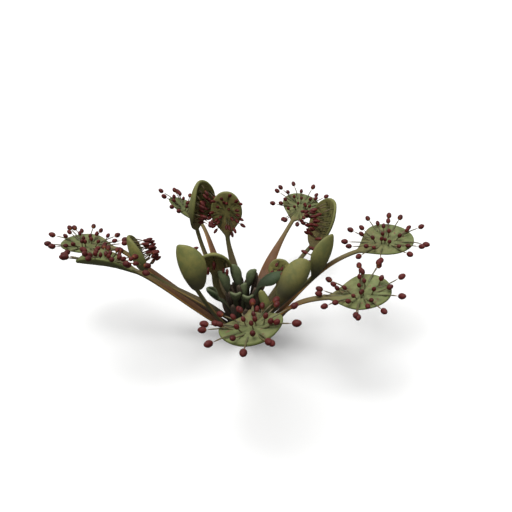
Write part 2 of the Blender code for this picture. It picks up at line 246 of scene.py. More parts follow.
def bladeHalfWidth(leaf, x):
    widest, neck, middle = leaf["size"][1] / 2, neckHalfWidth(leaf), leafShape["bladeWidest"]
    if x < middle:
        rise = math.sin(math.pi / 2 * x / middle) ** leaf.get("foot", leafShape["footPower"])
        return neck + (widest - neck) * rise
    fall = max(0.0, 1 - ((x - middle) / (1 - middle)) ** 2) ** leaf.get("tip", leafShape["tipPower"])
    return widest * fall


def stalkHalfWidth(leaf, t):
    strapShare = leaf.get("strap", 1.0)
    strap = leafShape["strapHalfWidth"] * strapShare
    foot = leafShape["footHalfWidth"] * min(1, strapShare)
    wide = foot + (strap - foot) * smooth(*leafShape["stalkWidens"], t)
    return wide + (neckHalfWidth(leaf) - wide) * smooth(*leafShape["stalkNarrows"], t)


# the radius that the blade's sides fold up round; it shrinks with the width where the leaf is pinched
def foldRadius(leaf, x=0):
    widest = leaf["size"][1] / 2
    radius = widest / math.radians(leaf["fold"])
    pinch = leaf.get("pinch", 0)
    if pinch and x > 0:
        narrowed = 1 - bladeHalfWidth(leaf, x) / widest
        radius *= 1 - pinch * narrowed * smooth(0, leafShape["fullPinchAt"], x)
    return max(radius, leafShape["tightestFold"])


# a point across the blade, with both sides folded up round the middle line, and its upper side
def folded(leaf, place, across, above, x=0):
    point, along, up = place
    side = along.cross(up)
    radius = foldRadius(leaf, x)
    inner, angle = radius - above, across / radius
    spot = point + side * inner * math.sin(angle) + up * (radius - inner * math.cos(angle))
    return spot, up * math.cos(angle) - side * math.sin(angle)


# how the tentacles stand on the blade
tentaclePlaces = {
    "centre": 0.53,  # the blade share that the rings stand round
    "spread": 0.45,
    "edgeShare": 0.92,  # none stands further out than this share of the blade's half width
    "turnJitter": 0.2,
    "leanJitter": 6,
    "reachRange": (0.93, 1.05),
    "addedSeed": 5000,
}

# rings of tentacles: count, place from blade centre to rim, lean out from the blade's face, length,
# gland size. The first set is in the solids too, and the second stands between it
openRings = (
    ((9, 0.94, 74, 4.1, 1.0), (5, 0.6, 40, 2.9, 0.8), (2, 0.25, 14, 2.3, 0.7)),
    ((3, 0.92, 72, 4.0, 1.0), (5, 0.62, 56, 3.4, 0.85), (4, 0.36, 26, 2.7, 0.75),
     (2, 0.14, 10, 2.2, 0.7)),
)
cupRings = (
    ((7, 0.86, -14, 3.6, 0.85), (4, 0.45, -6, 4.2, 0.8)),
    ((6, 0.72, -6, 3.8, 0.82), (5, 0.45, 0, 4.0, 0.8), (3, 0.2, 4, 3.6, 0.75)),
)
flatRings = (
    ((7, 0.72, 42, 2.9, 0.85), (4, 0.4, 28, 3.0, 0.8)),
    ((6, 0.55, 44, 2.9, 0.8), (6, 0.32, 36, 3.0, 0.76), (3, 0.2, 20, 2.6, 0.75)),
)
budRings = (
    ((3, 0.84, -8, 3.2, 0.8),),
    ((3, 0.55, -4, 3.0, 0.78), (2, 0.25, 0, 2.8, 0.75)),
)


def leafRings(name):
    kind = leafKind(name)
    if kind == "open":
        return openRings
    if kind == "young":
        return ()
    if name == "cup_back":
        return flatRings
    return budRings if name.startswith("egg") or name in ("cup_low", "cup_small") else cupRings


# where the tentacles of some rings stand, and which way each one reaches
def tentacleSpots(leaf, course, rings, draw):
    width = leaf["size"][1]
    turnJitter, leanJitter = tentaclePlaces["turnJitter"], tentaclePlaces["leanJitter"]
    spots = []
    for count, place, lean, reach, size in rings:
        turn = draw.random()
        for k in range(count):
            angle = 2 * math.pi * (k + turn + draw.uniform(-turnJitter, turnJitter)) / count
            x = tentaclePlaces["centre"] + tentaclePlaces["spread"] * place * math.cos(angle)
            edge = bladeHalfWidth(leaf, x) * tentaclePlaces["edgeShare"]
            across = max(-edge, min(edge, width / 2 * place * math.sin(angle)))
            middle, along, up = bladeFrame(leaf, course, x)
            outward = along * math.cos(angle) + along.cross(up) * math.sin(angle)
            tilt = math.radians(lean + draw.uniform(-leanJitter, leanJitter))
            spots.append({
                "x": x,
                "across": across,
                "place": place,
                "root": folded(leaf, (middle, along, up), across, 0, x)[0],
                "out": up * math.cos(tilt) + outward * math.sin(tilt),
                "length": reach * leaf.get("reach", 1) * draw.uniform(*tentaclePlaces["reachRange"]),
                "size": size,
            })
    return spots


def allSpots(name, leaf, course):
    spots = []
    for k, rings in enumerate(leafRings(name)):
        draw = random.Random(leaf["draw"] + k * tentaclePlaces["addedSeed"])
        spots += tentacleSpots(leaf, course, rings, draw)
    return spots


# surface relief of the blades
relief = {
    "creaseWidth": 0.25,
    "creaseDepth": {"open": 0.18, "cup": 0.15, "young": 0.0},
    "creaseStart": 0.14,  # how near the blade's centre a crease starts
    "creaseStartDepth": 0.3,  # how deep it is there
    "shortestCrease": 1.2,
    "creaseLimit": 1.2,  # a crease does nothing further away than this
    "lumpSize": 2.2,
    "lumpHeight": {"open": 0.12, "cup": 0.07, "young": 0.03},
    "rimBand": 0.75,
    "rimKeeps": 0.8,  # the share of a crease that the rim fills
    "pleatHeight": {"open": 0.07, "cup": 0.05, "young": 0.0},
    "pleatTurns": 5.5,
    "pleatGrows": (0.4, 2.4),  # how far from the blade's centre
    "pleatDrift": 0.12,  # how much a pleat changes along itself
    "pleatShade": (0.1, 0.55),  # how low a pleat is where its painted shade starts and is full
    "pleatShadeShare": 0.55,
    "keelHeight": 0.13,
    "keelWidth": 0.3,
    "baseFade": (0.02, 0.2),  # blade shares over which creases and pleats grow
    "lumpFade": (0.0, 0.35),
    "edgeFade": 3,  # how steeply creases and pleats end at the side edges
    "lumpStep": 7.3,  # how far one leaf's lumps and pleats are from the next leaf's
    "pleatStep": 3.1,
}


# each crease runs from near the blade's centre to a tentacle's root
def creaseLines(leaf, spots):
    length = leaf["size"][0]
    centre = Vector((tentaclePlaces["centre"] * length, 0))
    lines = []
    for spot in spots:
        root = Vector((spot["x"] * length, spot["across"]))
        run = root - centre
        if run.length < relief["shortestCrease"]:
            continue
        start = centre + run * relief["creaseStart"]
        lines.append((start, run.normalized(), (root - start).length))
    return lines


def creaseAt(lines, spot):
    shallow = relief["creaseStartDepth"]
    deepest = 0.0
    for start, run, reach in lines:
        gone = spot - start
        share = min(1.0, max(0.0, gone.dot(run) / reach))
        away = (gone - run * reach * share).length
        if away < relief["creaseLimit"]:
            depth = math.exp(-(away / relief["creaseWidth"]) ** 2) * (shallow + (1 - shallow) * share)
            deepest = max(deepest, depth)
    return deepest


# fine pleats that fan out from the blade's centre
def pleatAt(leaf, spot, number):
    run = spot - Vector((tentaclePlaces["centre"] * leaf["size"][0], 0))
    far = run.length
    if far < relief["pleatGrows"][0]:
        return 0.0
    turn = run / far * relief["pleatTurns"]
    place = Vector((turn.x, turn.y, number * relief["pleatStep"] + far * relief["pleatDrift"]))
    return noise.noise(place) * smooth(*relief["pleatGrows"], far)


# how near a point of the blade is to the rim: 1 on it, 0 a band's width inside it
def rimNearness(leaf, x, across, half):
    middle, widest = leafShape["bladeWidest"], leaf["size"][1] / 2
    inside = half - abs(across)
    if x > middle:
        inside = (1 - math.hypot((x - middle) / (1 - middle), across / widest)) * widest
    return 1 - min(1.0, max(0.0, inside / relief["rimBand"]))


def leafStations(detail):
    middle = leafShape["bladeWidest"]
    ringKeys = ("stalkRings", "footRings", "roundRings")
    stalkRings, footRings, roundRings = (round(leafShape[key] * detail) for key in ringKeys)
    stations = [("stalk", k / stalkRings) for k in range(stalkRings)]
    stations += [("blade", middle * k / footRings) for k in range(footRings)]
    for k in range(roundRings + 1):
        stations.append(("blade", middle + (1 - middle) * math.sin(math.pi / 2 * k / roundRings)))
    return stations


def sectionAngles(detail):
    top, under = round(leafShape["topSides"] * detail), round(leafShape["underSides"] * detail)
    angles = [math.pi * k / top for k in range(top)]
    return angles + [math.pi + math.pi * k / under for k in range(under + 1)]


def stalkLength(course):
    steps = leafShape["lengthSteps"]
    points = [stalkFrame(course, k / steps)[0] for k in range(steps + 1)]
    return sum((after - before).length for before, after in zip(points, points[1:]))


# height that the relief adds to a point of the blade, and how much of it is in a crease or a low part
# of a pleat, as a mask of painted shade; lift runs from -1 at the middle of the underside to 1 at the
# middle of the top
def bladeRelief(leaf, kind, lines, number, share, across, lift, rim):
    spot = Vector((share * leaf["size"][0], across))
    calm = smooth(*relief["lumpFade"], share) * (1 - rim) * abs(lift)
    lumpSpot = Vector((spot.x, spot.y, number * relief["lumpStep"])) / relief["lumpSize"]
    height, creaseShade = relief["lumpHeight"][kind] * noise.noise(lumpSpot) * calm, 0.0
    if lift > 0 and relief["creaseDepth"][kind]:
        grown, topShare = smooth(*relief["baseFade"], share), min(1, lift * relief["edgeFade"])
        # the crease share dents the relief and is also the mask of painted shade along the crease
        creaseShade = creaseAt(lines, spot) * grown
        height -= relief["creaseDepth"][kind] * creaseShade * (1 - rim * relief["rimKeeps"]) * topShare
        pleat = pleatAt(leaf, spot, number) * grown
        height += relief["pleatHeight"][kind] * pleat * calm * topShare
        # painted shade in the low parts of the pleats
        pleatShade = smooth(*relief["pleatShade"], -pleat) * (1 - rim) * relief["pleatShadeShare"]
        creaseShade = max(creaseShade, pleatShade)
    if lift < 0 and kind == "young":
        height -= relief["keelHeight"] * math.exp(-(across / relief["keelWidth"]) ** 2) * calm
    return height, creaseShade


# a flat grid to roll up: its vertices, each with its column and its row
def rollGrid(bm, columns, rows):
    made = bmesh.ops.create_grid(bm, x_segments=columns, y_segments=rows, size=1)["verts"]
    places = []
    for vert in made:
        places.append((vert, round((vert.co.x + 1) / 2 * columns), round((vert.co.y + 1) / 2 * rows)))
    return places


# closes the seams and ends of a rolled grid
def closeShell(bm, weld):
    bmesh.ops.remove_doubles(bm, verts=bm.verts, dist=weld)
    bmesh.ops.holes_fill(bm, edges=[edge for edge in bm.edges if edge.is_boundary], sides=0)
    bmesh.ops.recalc_face_normals(bm, faces=bm.faces)


# a grid rolled up into a leaf: a column of it is a section, and its rows run from stalk to tip
def makeLeafBody(name, leaf, course, spots, number, detail=1):
    kind = leafKind(name)
    stations, angles = leafStations(detail), sectionAngles(detail)
    lines = creaseLines(leaf, spots)
    length, wholeStalk = leaf["size"][0], stalkLength(course)
    bm = bmesh.new()
    layerNames = ("along", "across", "upper", "creaseShade", "rim", "paintedShade")
    layers = {key: bm.verts.layers.float.new(key) for key in layerNames}
    uvLayer = bm.loops.layers.uv.new("leafUv")
    uvs = {}
    for vert, column, row in rollGrid(bm, len(stations) - 1, len(angles) - 1):
        part, share = stations[column]
        onBlade = part == "blade"
        cosine, lift = math.cos(angles[row]), math.sin(angles[row])
        creaseShade = rim = 0.0
        if onBlade:
            place, half = bladeFrame(leaf, course, share), bladeHalfWidth(leaf, share)
            blend = smooth(0, leafShape["fullThicknessAt"], share)
            thick = stalkThickness(leaf) + (bladeThickness(leaf) - stalkThickness(leaf)) * blend
            square = 1 + (leafShape["edgeSquareness"] - 1) * blend
            closing = max(0.0, (share - 1) * length / leafShape["tipRound"] + 1)
            thick *= math.sqrt(max(0.0, 1 - closing * closing))
            alongMm = wholeStalk + length * share
        else:
            place, half = stalkFrame(course, share), stalkHalfWidth(leaf, share)
            thick, square, alongMm = stalkThickness(leaf), 1, wholeStalk * share
        across = half * cosine
        above = thick / 2 * math.copysign(abs(lift) ** square, lift) if abs(lift) > tiny else 0.0
        if onBlade:
            rim = rimNearness(leaf, share, across, half)
            height, creaseShade = bladeRelief(leaf, kind, lines, number, share, across, lift, rim)
            above += height
        vert.co = folded(leaf, place, across, above, share if onBlade else 0)[0] * mm
        vert[layers["along"]] = 1 + share if onBlade else share
        vert[layers["across"]] = abs(cosine)
        vert[layers["upper"]] = 0.5 + 0.5 * lift
        vert[layers["creaseShade"]] = creaseShade
        vert[layers["rim"]] = rim
        # painted shade: how far this leaf's whole blade is darkened towards the shade colour
        vert[layers["paintedShade"]] = leaf.get("paintedShade", 0)
        uvs[vert] = (alongMm / leafShape["uvSpan"][0], 0.5 + across / leafShape["uvSpan"][1])
    for face in bm.faces:
        face.smooth = True
        for loop in face.loops:
            loop[uvLayer].uv = uvs[loop.vert]
    closeShell(bm, leafShape["weld"])
    return addPiece(bm, name + "_body")


# dark sheaths that stand between the stalks on the crown; each row has a count, elevation and height
sheaths = {
    "rows": ((12, 36, 5.8), (11, 56, 8.0), (7, 74, 10.3)),
    "turnJitter": 0.25,
    "heightRange": (0.85, 1.15),
    "sunk": 4,  # how many degrees of elevation below its row a sheath starts
    "lean": 1.4,
    "pitch": 72,
    "sideJitter": 8,
    "rollJitter": 20,
    "shape": dict(pull=(1.2, 1.2), size=(3.8, 1.3), fold=60, curl=14, strap=0.8, pinch=0.6, tip=0.75),
    "seed": 31,
    "detail": 0.5,
}


def sheathLeaves():
    draw = random.Random(sheaths["seed"])
    turn, side, roll = sheaths["turnJitter"], sheaths["sideJitter"], sheaths["rollJitter"]
    for row, (count, elevation, height) in enumerate(sheaths["rows"]):
        for k in range(count):
            azimuth = 360 * (k + row / 2 + draw.uniform(-turn, turn)) / count
            out = leafShape["crownRadius"] * math.cos(math.radians(elevation)) + sheaths["lean"]
            tall = leafShape["crownCentre"] + height * draw.uniform(*sheaths["heightRange"])
            yield dict(
                sheaths["shape"], start=(azimuth, elevation - sheaths["sunk"]),
                base=(azimuth + draw.uniform(-side, side), out, tall),
                aim=(azimuth, sheaths["pitch"], draw.uniform(-roll, roll)))


def addPiece(bm, name):
    mesh = bpy.data.meshes.new(name)
    bm.to_mesh(mesh)
    bm.free()
    piece = bpy.data.objects.new(name, mesh)
    bpy.context.scene.collection.objects.link(piece)
    return piece


tentacleShape = {
    "rootRadius": 0.22,
    "stalkRadius": 0.125,
    "neckRadius": 0.11,
    "rootEnds": 0.35,  # shares of its length where the root has thinned out and the neck starts
    "neckStarts": 0.5,
    "sides": 6,
    "rings": 7,
    "lyingPlace": 0.5,  # a tentacle lies along the blade first if it stands further out than this
    "lyingRise": 0.75,  # and rises less than this
    "liesFrom": 0.62,  # where it starts to lie, against where it stands
    "sunkBy": 0.22,  # and how deep it is in the blade there
    "liesTo": 0.97,
    "raisedBy": 0.06,
    "bendAt": 0.3,  # where any other tentacle bends
    "sway": 0.1,
    "seed": 500,
    "weld": 1e-6,
}

glandShape = {
    "size": {"open": (1.52, 0.6), "cup": (1.9, 0.47)},  # length and radius; slimmer in the cups
    "sides": 10,
    "rings": 7,
    "pastNeck": 0.93,  # the share of its length that is past the stalk's end
    "sunkBy": 0.08,
    "turnsOut": 0.5,
    "sizeRange": (0.93, 1.07),
    "footSwell": 1.07,
    "taper": 0.22,
}


# the line of a tentacle: it lies along the blade from its crease, then reaches out to its gland
def tentacleLine(leaf, course, spot, glandLength, draw):
    shape = tentacleShape
    gland = glandLength * spot["size"]
    neck = spot["root"] + spot["out"] * (spot["length"] - gland * glandShape["pastNeck"])
    skin = bladeThickness(leaf) / 2
    if spot["place"] > shape["lyingPlace"] and spot["out"].dot(course["up"]) < shape["lyingRise"]:
        x, across = spot["x"], spot["across"]
        centre, inward = tentaclePlaces["centre"], shape["liesFrom"]
        inner = centre + (x - centre) * inward
        innerFrame, outerFrame = bladeFrame(leaf, course, inner), bladeFrame(leaf, course, x)
        first = folded(leaf, innerFrame, across * inward, skin - shape["sunkBy"], inner)[0]
        second = folded(leaf, outerFrame, across * shape["liesTo"], skin + shape["raisedBy"], x)[0]
    else:
        first = spot["root"]
        second = spot["root"] + spot["out"] * spot["length"] * shape["bendAt"]
    sway = spot["out"].orthogonal() * draw.uniform(-shape["sway"], shape["sway"]) * spot["length"]
    middle = second * 2 - (first + neck) / 2
    points = []
    for k in range(shape["rings"] + 1):
        t = k / shape["rings"]
        s = 1 - t
        points.append(first * s * s + middle * 2 * s * t + neck * t * t + sway * 2 * s * t)
    return points


# a tube along points; it closes where its radius is nothing
def addTube(bm, points, radii, tipLayer):
    sides, last = tentacleShape["sides"], len(points) - 1
    side = None
    frames = []
    for k, point in enumerate(points):
        along = (points[min(k + 1, last)] - points[max(k - 1, 0)]).normalized()
        side = (along.orthogonal() if side is None else side - along * side.dot(along)).normalized()
        frames.append((point, side, along.cross(side)))
    for vert, column, row in rollGrid(bm, last, sides):
        point, side, other = frames[column]
        angle = 2 * math.pi * row / sides
        vert.co = (point + (side * math.cos(angle) + other * math.sin(angle)) * radii[column]) * mm
        vert[tipLayer] = column / last


def stalkRadii():
    root, middle, neck = (tentacleShape[key] for key in ("rootRadius", "stalkRadius", "neckRadius"))
    radii = []
    for k in range(tentacleShape["rings"] + 1):
        t = k / tentacleShape["rings"]
        rootShare = 1 - smooth(0, tentacleShape["rootEnds"], t)
        neckShare = smooth(tentacleShape["neckStarts"], 1, t)
        radii.append(middle + (root - middle) * rootShare + (neck - middle) * neckShare)
    radii[0] = radii[-1] = 0
    return radii


# a leaf's tentacles in two pieces: their stalks, and their glands
def makeTentacles(name, leaf, course, spots, number):
    draw = random.Random(tentacleShape["seed"] + number)
    sizes, radii = glandShape["size"][leafKind(name)], stalkRadii()
    bmStalks, bmGlands = bmesh.new(), bmesh.new()
    tipLayer = bmStalks.verts.layers.float.new("tip")
    neckLayer = bmGlands.verts.layers.float.new("neck")
    toneLayer = bmGlands.verts.layers.float.new("tone")
    for spot in spots:
        points = tentacleLine(leaf, course, spot, sizes[0], draw)
        addTube(bmStalks, points, radii, tipLayer)
        addGland(bmGlands, points, spot, sizes, draw, neckLayer, toneLayer)
    pieces = []
    for bm, ending in ((bmStalks, "_tentacles"), (bmGlands, "_glands")):
        bmesh.ops.remove_doubles(bm, verts=bm.verts, dist=tentacleShape["weld"])
        bmesh.ops.recalc_face_normals(bm, faces=bm.faces)
        for face in bm.faces:
            face.smooth = True
        pieces.append(addPiece(bm, name + ending))
    return pieces


# an egg on the end of its stalk, fuller towards the stalk and blunt at the free end
def addGland(bm, points, spot, sizes, draw, neckLayer, toneLayer):
    made = bmesh.ops.create_uvsphere(
        bm, u_segments=glandShape["sides"], v_segments=glandShape["rings"], radius=1)["verts"]
    tip = (points[-1] - points[-3]).normalized()
    along = tip.lerp(spot["out"], glandShape["turnsOut"]).normalized()
    side = along.orthogonal().normalized()
    other = along.cross(side)
    grow = spot["size"] * draw.uniform(*glandShape["sizeRange"])
    length, radius = sizes[0] * grow, sizes[1] * grow
    tone = draw.random()
    start = points[-1] - along * glandShape["sunkBy"]
    for vert in made:
        share = (vert.co.z + 1) / 2
        swell = glandShape["footSwell"] - glandShape["taper"] * share
        outwards = (side * vert.co.x + other * vert.co.y) * radius * swell
        vert[neckLayer] = 1 - share
        vert[toneLayer] = tone
        vert.co = (start + along * length * share + outwards) * mm


crownShape = {
    "baseRadius": 3.55,
    "waist": 0.05,
    "domeFrom": 0.25,  # the share of the rings that are below the dome
    "sides": 96,
    "rings": 40,
    "scales": 8,
    "scaleRows": 7,
    "scaleHeight": 0.16,
    "scaleSlope": 0.6,
    "scaleFade": (1.2, 0.1),  # how the scales fade towards both ends
    "flatLimit": 0.99,
    "weld": 1e-6,
}


def makeCrown():
    radius, centre = leafShape["crownRadius"], leafShape["crownCentre"]
    rings, sides, domeFrom = crownShape["rings"], crownShape["sides"], crownShape["domeFrom"]
    fadeRate, fadeStart = crownShape["scaleFade"]
    bm = bmesh.new()
    for vert, column, row in rollGrid(bm, rings, sides):
        level, angle = column / rings, 2 * math.pi * row / sides
        if level < domeFrom:
            share = level / domeFrom
            height = centre * share
            wide = crownShape["baseRadius"] + crownShape["waist"] * math.sin(math.pi * share)
        else:
            turn = math.pi / 2 * (level - domeFrom) / (1 - domeFrom)
            height, wide = centre + radius * math.sin(turn), radius * math.cos(turn)
        scaleRow = level * crownShape["scaleRows"]
        lobe = abs(math.sin(crownShape["scales"] * angle / 2 + int(scaleRow) * math.pi / 2))
        cut = 1 - lobe * (1 - scaleRow % 1 * crownShape["scaleSlope"])
        fade = math.sin(math.pi * min(1, level * fadeRate + fadeStart))
        wide -= crownShape["scaleHeight"] * cut * fade * wide / radius
        vert.co = Vector((wide * math.cos(angle), wide * math.sin(angle), height)) * mm
    closeShell(bm, crownShape["weld"])
    for face in bm.faces:
        onCut = abs(face.normal.z) >= crownShape["flatLimit"] and face.calc_center_median().z <= mm
        face.smooth = not onCut
    return addPiece(bm, "crown_bark")


def plug(tree, socket, value):
    if isinstance(value, bpy.types.NodeSocket):
        tree.links.new(value, socket)
    else:
        socket.default_value = (*value, 1) if socket.type == "RGBA" else value


# each setting goes into the input of that name, with spaces for underscores, or else onto the node
def addNode(tree, kind, **settings):
    node = tree.nodes.new(kind)
    for key, value in settings.items():
        title = key.replace("_", " ")
        if title in node.inputs:
            plug(tree, node.inputs[title], value)
        else:
            setattr(node, key, value)
    return node


def mixColour(tree, factor, first, second):
    node = addNode(tree, "ShaderNodeMix", data_type="RGBA")
    for index, value in ((0, factor), (6, first), (7, second)):
        plug(tree, node.inputs[index], value)
    return node.outputs[2]


# the second colour over the first, by a share of a mask
def tint(tree, mask, share, first, second):
    return mixColour(tree, maths(tree, "MULTIPLY", mask, share), first, second)


def maths(tree, operation, first, second, clamp=False):
    node = addNode(tree, "ShaderNodeMath", operation=operation, use_clamp=clamp)
    for socket, value in zip(node.inputs, (first, second)):
        plug(tree, socket, value)
    return node.outputs[0]


def between(tree, value, low, high):
    node = addNode(
        tree, "ShaderNodeMapRange", interpolation_type="SMOOTHSTEP",
        Value=value, From_Min=low, From_Max=high)
    return node.outputs["Result"]


def attribute(tree, name):
    return addNode(tree, "ShaderNodeAttribute", attribute_name=name).outputs["Fac"]


def newGroup(name, inputs, outputs):
    group = bpy.data.node_groups.new(name, "ShaderNodeTree")
    for title, kind, value in inputs:
        group.interface.new_socket(title, in_out="INPUT", socket_type=kind).default_value = value
    for title, kind in outputs:
        group.interface.new_socket(title, in_out="OUTPUT", socket_type=kind)
    return group, group.nodes.new("NodeGroupInput"), group.nodes.new("NodeGroupOutput")


mottleShape = {"patchSpan": (0.36, 0.64), "spotGain": 14.0}


# patches of tone and small spots over a leaf
def makeMottleGroup():
    group, given, result = newGroup(
        "leafMottle",
        (("Patch Scale", "NodeSocketFloat", 400.0),
         ("Spot Scale", "NodeSocketFloat", 1100.0),
         ("Spot Limit", "NodeSocketFloat", 0.66)),
        (("Patches", "NodeSocketFloat"), ("Spots", "NodeSocketFloat")))
    where = addNode(group, "ShaderNodeTexCoord").outputs["Object"]
    patch = addNode(
        group, "ShaderNodeTexNoise", Vector=where, Scale=given.outputs["Patch Scale"],
        Detail=6.0, Roughness=0.68)
    spots = addNode(
        group, "ShaderNodeTexNoise", Vector=where, Scale=given.outputs["Spot Scale"],
        Detail=2.0, Roughness=0.5)
    over = maths(group, "SUBTRACT", spots.outputs["Fac"], given.outputs["Spot Limit"])
    over = maths(group, "MULTIPLY", over, mottleShape["spotGain"], clamp=True)
    patches = between(group, patch.outputs["Fac"], *mottleShape["patchSpan"])
    plug(group, result.inputs["Patches"], patches)
    plug(group, result.inputs["Spots"], over)
    return group


skinShape = {
    "streakStretch": (6.0, 90.0, 1.0),
    "streakSpan": (0.35, 0.65),
    "cellShare": 0.35,
    "depth": 0.00012,
}


# fine skin: small cells, and long streaks where asked
def makeSkinGroup():
    group, given, result = newGroup(
        "leafSkin",
        (("Cell Scale", "NodeSocketFloat", 4200.0),
         ("Streaks", "NodeSocketFloat", 0.0),
         ("Strength", "NodeSocketFloat", 0.35)),
        (("Normal", "NodeSocketVector"), ("Streak Mask", "NodeSocketFloat")))
    where = addNode(group, "ShaderNodeTexCoord").outputs["Object"]
    cells = addNode(
        group, "ShaderNodeTexVoronoi", feature="SMOOTH_F1", Vector=where,
        Scale=given.outputs["Cell Scale"], Smoothness=0.6)
    uneven = addNode(group, "ShaderNodeTexNoise", Vector=where, Scale=900.0, Detail=5.0, Roughness=0.6)
    leafUv = addNode(group, "ShaderNodeUVMap", uv_map="leafUv").outputs["UV"]
    stretched = addNode(group, "ShaderNodeMapping", Vector=leafUv, Scale=skinShape["streakStretch"])
    streak = addNode(
        group, "ShaderNodeTexNoise", Vector=stretched.outputs["Vector"],
        Scale=3.0, Detail=3.0, Roughness=0.6)
    height = maths(group, "MULTIPLY", cells.outputs["Distance"], skinShape["cellShare"])
    height = maths(group, "ADD", height, uneven.outputs["Fac"])
    streaks = maths(group, "MULTIPLY", streak.outputs["Fac"], given.outputs["Streaks"])
    height = maths(group, "ADD", height, streaks)
    bump = addNode(
        group, "ShaderNodeBump", Strength=given.outputs["Strength"], Distance=skinShape["depth"],
        Height=height)
    mask = between(group, streak.outputs["Fac"], *skinShape["streakSpan"])
    plug(group, result.inputs["Normal"], bump.outputs["Normal"])
    plug(group, result.inputs["Streak Mask"], mask)
    return group


stalkTone = {
    "streakShare": 0.45,
    "underSpan": (0.42, 0.2),  # from the underside at 0 to the top at 1
    "edgeHighlightSpan": (0.87, 0.97),  # from the middle line at 0 to the edge at 1
    "footSpan": (0.08, 0.42),  # along the stalk
    "neckSpan": (0.62, 0.98),
}


# a stalk's colour: dark at the foot, a warm strap with a painted highlight along its edges, the
# blade's own tone at the neck
def makeStalkGroup():
    titles = ("Foot", "Strap", "Edge", "Under", "Neck")
    colourInputs = [(title, "NodeSocketColor", (0.1, 0.1, 0.1, 1.0)) for title in titles]
    inputs = colourInputs + [("Streak", "NodeSocketFloat", 0.0)]
    group, given, result = newGroup("stalkTone", inputs, (("Colour", "NodeSocketColor"),))
    foot, strap, edge, under, neck = (given.outputs[title] for title in titles)
    along, across, upper = (attribute(group, name) for name in ("along", "across", "upper"))
    strap = tint(group, given.outputs["Streak"], stalkTone["streakShare"], strap, foot)
    strap = mixColour(group, between(group, upper, *stalkTone["underSpan"]), strap, under)
    # painted highlight: the pale edge colour in a band along the stalk's sides
    strap = mixColour(group, between(group, across, *stalkTone["edgeHighlightSpan"]), strap, edge)
    colour = mixColour(group, between(group, along, *stalkTone["footSpan"]), foot, strap)
    colour = mixColour(group, between(group, along, *stalkTone["neckSpan"]), colour, neck)
    plug(group, result.inputs["Colour"], colour)
    return group


# each kind's colours: top, under and rim are the blade's, and foot, strap, edge and neck the stalk's;
# edge is a painted highlight along the stalk's sides, creaseShade is painted shade in the creases and
# pleats, and shade darkens the underside towards the blade's foot and is the colour that painted
# shade darkens a whole blade to
leafColours = {
    "open": {
        "top": (0.13, 0.17, 0.058), "topPale": (0.222, 0.262, 0.108), "warm": (0.2, 0.165, 0.068),
        "under": (0.14, 0.15, 0.052), "underPale": (0.185, 0.19, 0.072), "shade": (0.12, 0.118, 0.048),
        "creaseShade": (0.04, 0.048, 0.018), "rim": (0.155, 0.182, 0.057), "blush": (0.2, 0.11, 0.07),
        "foot": (0.045, 0.03, 0.023), "strap": (0.19, 0.088, 0.037), "edge": (0.42, 0.22, 0.06),
        "underStalk": (0.11, 0.072, 0.045), "neck": (0.165, 0.134, 0.055),
        "blushLimit": 0.615, "roughness": 0.55,
    },
    "cup": {
        "top": (0.215, 0.212, 0.066), "topPale": (0.32, 0.302, 0.098), "warm": (0.28, 0.18, 0.078),
        "under": (0.2, 0.22, 0.07), "underPale": (0.31, 0.29, 0.084), "shade": (0.055, 0.05, 0.028),
        "creaseShade": (0.03, 0.03, 0.012), "rim": (0.18, 0.182, 0.062), "blush": (0.19, 0.12, 0.055),
        "foot": (0.045, 0.038, 0.024), "strap": (0.13, 0.098, 0.044), "edge": (0.24, 0.16, 0.055),
        "underStalk": (0.11, 0.105, 0.044), "neck": (0.135, 0.125, 0.05),
        "blushLimit": 0.66, "roughness": 0.5,
    },
    # tealShaded: the young leaves' own bluish-green tone, made darker with painted shade for the hood
    # and hook
    "tealShaded": {
        "top": (0.045, 0.056, 0.028), "topPale": (0.07, 0.086, 0.043),
        "under": (0.034, 0.055, 0.024), "underPale": (0.054, 0.08, 0.036),
        "shade": (0.035, 0.044, 0.027),
        "creaseShade": (0.02, 0.026, 0.017), "rim": (0.13, 0.155, 0.085), "blush": (0.1, 0.06, 0.045),
        "foot": (0.032, 0.025, 0.021), "strap": (0.075, 0.056, 0.04), "edge": (0.12, 0.1, 0.055),
        "underStalk": (0.045, 0.048, 0.03), "neck": (0.05, 0.06, 0.034),
        "blushLimit": 0.68, "roughness": 0.5,
    },
    "sheath": {
        "top": (0.055, 0.04, 0.032), "topPale": (0.09, 0.068, 0.052),
        "under": (0.065, 0.048, 0.038), "underPale": (0.105, 0.08, 0.06), "shade": (0.032, 0.024, 0.02),
        "creaseShade": (0.02, 0.015, 0.012), "rim": (0.1, 0.07, 0.048), "blush": (0.08, 0.045, 0.036),
        "foot": (0.032, 0.022, 0.018), "strap": (0.05, 0.034, 0.027), "edge": (0.09, 0.06, 0.04),
        "underStalk": (0.04, 0.03, 0.024), "neck": (0.045, 0.034, 0.026),
        "blushLimit": 0.62, "roughness": 0.6,
    },
    "young": {
        "top": (0.085, 0.095, 0.045), "topPale": (0.13, 0.145, 0.072),
        "under": (0.085, 0.11, 0.05), "underPale": (0.145, 0.172, 0.084), "shade": (0.045, 0.05, 0.03),
        "creaseShade": (0.025, 0.03, 0.018), "rim": (0.155, 0.18, 0.095), "blush": (0.13, 0.085, 0.06),
        "foot": (0.035, 0.027, 0.022), "strap": (0.09, 0.062, 0.043), "edge": (0.14, 0.11, 0.06),
        "underStalk": (0.055, 0.055, 0.033), "neck": (0.06, 0.066, 0.036),
        "blushLimit": 0.68, "roughness": 0.5,
    },
}


def placeGroup(tree, group, **given):
    return addNode(tree, "ShaderNodeGroup", node_tree=group, **given)


def newMaterial(name):
    material = bpy.data.materials.new(name)
    material.use_nodes = True
    return material, material.node_tree, material.node_tree.nodes["Principled BSDF"]


